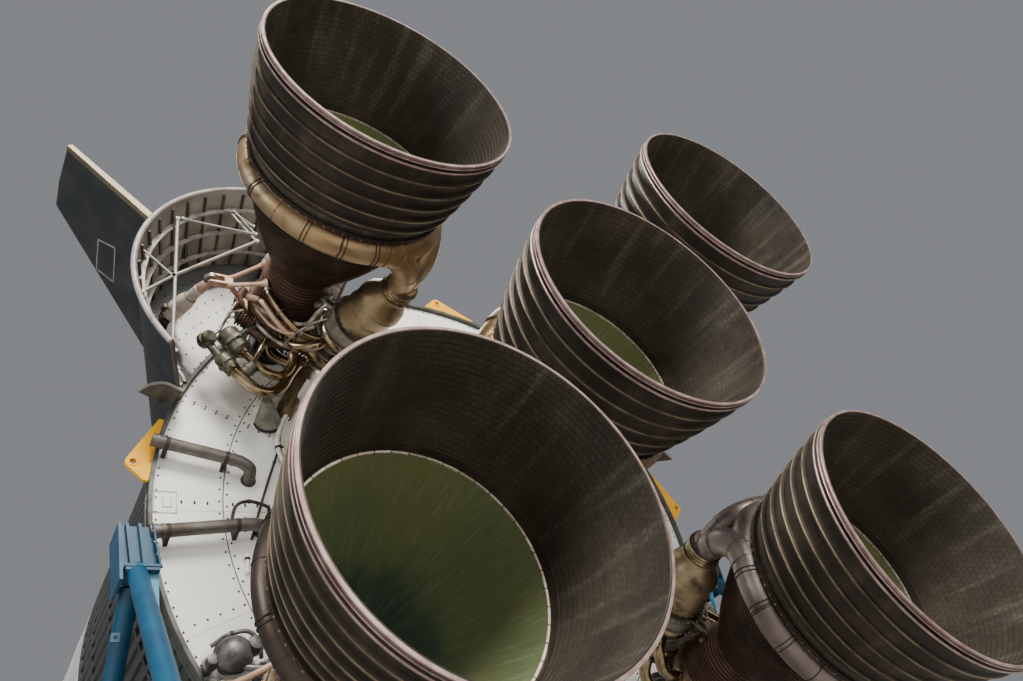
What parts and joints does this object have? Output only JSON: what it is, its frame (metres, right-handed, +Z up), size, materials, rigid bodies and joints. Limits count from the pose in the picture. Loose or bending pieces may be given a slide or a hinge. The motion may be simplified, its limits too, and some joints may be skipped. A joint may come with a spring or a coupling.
{
  "type": "rocket first stage on display stands, 1:2 scale model",
  "caption": "Liquid-fuel rocket first stage lying on blue stands: white tanks, bell engines that swivel on gimbals with actuators, black fairings and fins. 1:2 scale model.",
  "frame": {"origin": "on the floor under the middle of the model's length, between the stands", "axes": "+Y towards the front of the stage, +Z up, +X to the right seen from behind the engines"},
  "size_m": [6.8836, 21.6464, 7.6168],
  "materials": {
    "white_paint": "satin white paint over aluminium skin",
    "black_paint": "glossy black paint",
    "shield_paint": "satin off-white heat shield panels",
    "grey_steel": "dull grey steel",
    "nozzle_metal": "heat-browned nickel alloy",
    "chamber_metal": "rust-brown brazed tubes and bands",
    "duct_metal": "straw-coloured stainless duct",
    "pump_metal": "cast pump housings, dull gold-grey",
    "actuator_paint": "cream sleeve over a copper-coloured cylinder",
    "chromed_rod": "polished rod",
    "blue_paint": "semi-gloss blue stand paint",
    "yellow_paint": "semi-gloss yellow lug paint",
    "bare_aluminium": "bare rolled aluminium",
    "primer": "green-brown primer",
    "wire_black": "wire bundles and clamps",
    "sleeve_fabric": "cream insulation wrap"
  },
  "bodies": {
    "stage": {"forward_skirt": "white_paint", "oxidizer_tank": "white_paint", "intertank": "white_paint", "fuel_tank": "white_paint", "thrust_structure": "white_paint", "heat_shield": "shield_paint", "aft_ring": "grey_steel", "tunnel_top": "white_paint", "tunnel_bottom": "white_paint", "drain_pipe_upper": "grey_steel", "drain_pipe_lower": "grey_steel", "fairing_left": "black_paint", "fin_left": "black_paint", "fairing_right": "black_paint", "fin_right": "black_paint", "nozzle_extension_center": "nozzle_metal", "thrust_chamber_center": "chamber_metal", "turbopump_center": "pump_metal", "exhaust_manifold_center": "duct_metal", "aft_stand_left": "blue_paint", "aft_stand_right": "blue_paint", "forward_stand_left": "blue_paint", "forward_stand_right": "blue_paint"},
    "gimbal_upper_left": {"gimbal_block_upper_left": "grey_steel"},
    "engine_upper_left": {"nozzle_extension_upper_left": "nozzle_metal", "thrust_chamber_upper_left": "chamber_metal", "turbopump_upper_left": "pump_metal", "exhaust_manifold_upper_left": "duct_metal"},
    "barrel_side_upper_left": {"actuator_barrel_side_upper_left": "actuator_paint"},
    "rod_side_upper_left": {"actuator_rod_side_upper_left": "chromed_rod"},
    "barrel_level_upper_left": {"actuator_barrel_level_upper_left": "actuator_paint"},
    "rod_level_upper_left": {"actuator_rod_level_upper_left": "chromed_rod"},
    "gimbal_upper_right": {"gimbal_block_upper_right": "grey_steel"},
    "engine_upper_right": {"nozzle_extension_upper_right": "nozzle_metal", "thrust_chamber_upper_right": "chamber_metal", "turbopump_upper_right": "pump_metal", "exhaust_manifold_upper_right": "duct_metal"},
    "barrel_side_upper_right": {"actuator_barrel_side_upper_right": "actuator_paint"},
    "rod_side_upper_right": {"actuator_rod_side_upper_right": "chromed_rod"},
    "barrel_level_upper_right": {"actuator_barrel_level_upper_right": "actuator_paint"},
    "rod_level_upper_right": {"actuator_rod_level_upper_right": "chromed_rod"},
    "gimbal_lower_left": {"gimbal_block_lower_left": "grey_steel"},
    "engine_lower_left": {"nozzle_extension_lower_left": "nozzle_metal", "thrust_chamber_lower_left": "chamber_metal", "turbopump_lower_left": "pump_metal", "exhaust_manifold_lower_left": "duct_metal"},
    "barrel_side_lower_left": {"actuator_barrel_side_lower_left": "actuator_paint"},
    "rod_side_lower_left": {"actuator_rod_side_lower_left": "chromed_rod"},
    "barrel_level_lower_left": {"actuator_barrel_level_lower_left": "actuator_paint"},
    "rod_level_lower_left": {"actuator_rod_level_lower_left": "chromed_rod"},
    "gimbal_lower_right": {"gimbal_block_lower_right": "grey_steel"},
    "engine_lower_right": {"nozzle_extension_lower_right": "nozzle_metal", "thrust_chamber_lower_right": "chamber_metal", "turbopump_lower_right": "pump_metal", "exhaust_manifold_lower_right": "duct_metal"},
    "barrel_side_lower_right": {"actuator_barrel_side_lower_right": "actuator_paint"},
    "rod_side_lower_right": {"actuator_rod_side_lower_right": "chromed_rod"},
    "barrel_level_lower_right": {"actuator_barrel_level_lower_right": "actuator_paint"},
    "rod_level_lower_right": {"actuator_rod_level_lower_right": "chromed_rod"}
  },
  "joints": [
    {"name": "pitch_upper_left", "type": "hinge", "parent": "stage", "child": "gimbal_upper_left", "pos_m": [-1.63342, -7.47825, 5.80842], "axis": [1, 0, 0], "range_deg": [-5.15, 5.15]},
    {"name": "yaw_upper_left", "type": "hinge", "parent": "gimbal_upper_left", "child": "engine_upper_left", "pos_m": [-1.63342, -7.47825, 5.80842], "axis": [0, 0, 1], "range_deg": [-5.15, 5.15]},
    {"name": "swing_side_upper_left", "type": "hinge", "parent": "gimbal_upper_left", "child": "barrel_side_upper_left", "pos_m": [-2.50842, -7.47825, 5.80842], "axis": [0, 0, 1], "range_deg": [-2.3, 2.3]},
    {"name": "stroke_side_upper_left", "type": "slide", "parent": "barrel_side_upper_left", "child": "rod_side_upper_left", "axis": [0.3919, -0.92, 0], "range_m": [-0.075, 0.075]},
    {"name": "swing_level_upper_left", "type": "hinge", "parent": "stage", "child": "barrel_level_upper_left", "pos_m": [-1.63342, -7.47825, 6.68342], "axis": [0, 0, 1], "range_deg": [-5.3, 5.3]},
    {"name": "stroke_level_upper_left", "type": "slide", "parent": "barrel_level_upper_left", "child": "rod_level_upper_left", "axis": [0, -0.92, -0.3919], "range_m": [-0.075, 0.075]},
    {"name": "pitch_upper_right", "type": "hinge", "parent": "stage", "child": "gimbal_upper_right", "pos_m": [1.63342, -7.47825, 5.80842], "axis": [1, 0, 0], "range_deg": [-5.15, 5.15]},
    {"name": "yaw_upper_right", "type": "hinge", "parent": "gimbal_upper_right", "child": "engine_upper_right", "pos_m": [1.63342, -7.47825, 5.80842], "axis": [0, 0, 1], "range_deg": [-5.15, 5.15]},
    {"name": "swing_side_upper_right", "type": "hinge", "parent": "gimbal_upper_right", "child": "barrel_side_upper_right", "pos_m": [2.50842, -7.47825, 5.80842], "axis": [0, 0, 1], "range_deg": [-2.3, 2.3]},
    {"name": "stroke_side_upper_right", "type": "slide", "parent": "barrel_side_upper_right", "child": "rod_side_upper_right", "axis": [-0.3919, -0.92, 0], "range_m": [-0.075, 0.075]},
    {"name": "swing_level_upper_right", "type": "hinge", "parent": "stage", "child": "barrel_level_upper_right", "pos_m": [1.63342, -7.47825, 6.68342], "axis": [0, 0, 1], "range_deg": [-5.3, 5.3]},
    {"name": "stroke_level_upper_right", "type": "slide", "parent": "barrel_level_upper_right", "child": "rod_level_upper_right", "axis": [0, -0.92, -0.3919], "range_m": [-0.075, 0.075]},
    {"name": "pitch_lower_left", "type": "hinge", "parent": "stage", "child": "gimbal_lower_left", "pos_m": [-1.63342, -7.47825, 2.54158], "axis": [1, 0, 0], "range_deg": [-5.15, 5.15]},
    {"name": "yaw_lower_left", "type": "hinge", "parent": "gimbal_lower_left", "child": "engine_lower_left", "pos_m": [-1.63342, -7.47825, 2.54158], "axis": [0, 0, 1], "range_deg": [-5.15, 5.15]},
    {"name": "swing_side_lower_left", "type": "hinge", "parent": "gimbal_lower_left", "child": "barrel_side_lower_left", "pos_m": [-2.50842, -7.47825, 2.54158], "axis": [0, 0, 1], "range_deg": [-2.3, 2.3]},
    {"name": "stroke_side_lower_left", "type": "slide", "parent": "barrel_side_lower_left", "child": "rod_side_lower_left", "axis": [0.3919, -0.92, 0], "range_m": [-0.075, 0.075]},
    {"name": "swing_level_lower_left", "type": "hinge", "parent": "stage", "child": "barrel_level_lower_left", "pos_m": [-1.63342, -7.47825, 1.66658], "axis": [0, 0, 1], "range_deg": [-5.3, 5.3]},
    {"name": "stroke_level_lower_left", "type": "slide", "parent": "barrel_level_lower_left", "child": "rod_level_lower_left", "axis": [0, -0.92, 0.3919], "range_m": [-0.075, 0.075]},
    {"name": "pitch_lower_right", "type": "hinge", "parent": "stage", "child": "gimbal_lower_right", "pos_m": [1.63342, -7.47825, 2.54158], "axis": [1, 0, 0], "range_deg": [-5.15, 5.15]},
    {"name": "yaw_lower_right", "type": "hinge", "parent": "gimbal_lower_right", "child": "engine_lower_right", "pos_m": [1.63342, -7.47825, 2.54158], "axis": [0, 0, 1], "range_deg": [-5.15, 5.15]},
    {"name": "swing_side_lower_right", "type": "hinge", "parent": "gimbal_lower_right", "child": "barrel_side_lower_right", "pos_m": [2.50842, -7.47825, 2.54158], "axis": [0, 0, 1], "range_deg": [-2.3, 2.3]},
    {"name": "stroke_side_lower_right", "type": "slide", "parent": "barrel_side_lower_right", "child": "rod_side_lower_right", "axis": [-0.3919, -0.92, 0], "range_m": [-0.075, 0.075]},
    {"name": "swing_level_lower_right", "type": "hinge", "parent": "stage", "child": "barrel_level_lower_right", "pos_m": [1.63342, -7.47825, 1.66658], "axis": [0, 0, 1], "range_deg": [-5.3, 5.3]},
    {"name": "stroke_level_lower_right", "type": "slide", "parent": "barrel_level_lower_right", "child": "rod_level_lower_right", "axis": [0, -0.92, 0.3919], "range_m": [-0.075, 0.075]}
  ],
  "couplings": [
    {"joint": "swing_side_upper_left", "follows": "yaw_upper_left", "ratio": 0.4158},
    {"joint": "stroke_side_upper_left", "follows": "yaw_upper_left", "m_per_rad": 0.80502},
    {"joint": "swing_level_upper_left", "follows": "yaw_upper_left", "ratio": 1},
    {"joint": "stroke_level_upper_left", "follows": "pitch_upper_left", "m_per_rad": 0.80502},
    {"joint": "swing_side_upper_right", "follows": "yaw_upper_right", "ratio": 0.4158},
    {"joint": "stroke_side_upper_right", "follows": "yaw_upper_right", "m_per_rad": -0.80502},
    {"joint": "swing_level_upper_right", "follows": "yaw_upper_right", "ratio": 1},
    {"joint": "stroke_level_upper_right", "follows": "pitch_upper_right", "m_per_rad": 0.80502},
    {"joint": "swing_side_lower_left", "follows": "yaw_lower_left", "ratio": 0.4158},
    {"joint": "stroke_side_lower_left", "follows": "yaw_lower_left", "m_per_rad": 0.80502},
    {"joint": "swing_level_lower_left", "follows": "yaw_lower_left", "ratio": 1},
    {"joint": "stroke_level_lower_left", "follows": "pitch_lower_left", "m_per_rad": -0.80502},
    {"joint": "swing_side_lower_right", "follows": "yaw_lower_right", "ratio": 0.4158},
    {"joint": "stroke_side_lower_right", "follows": "yaw_lower_right", "m_per_rad": -0.80502},
    {"joint": "swing_level_lower_right", "follows": "yaw_lower_right", "ratio": 1},
    {"joint": "stroke_level_lower_right", "follows": "pitch_lower_right", "m_per_rad": -0.80502}
  ]
}
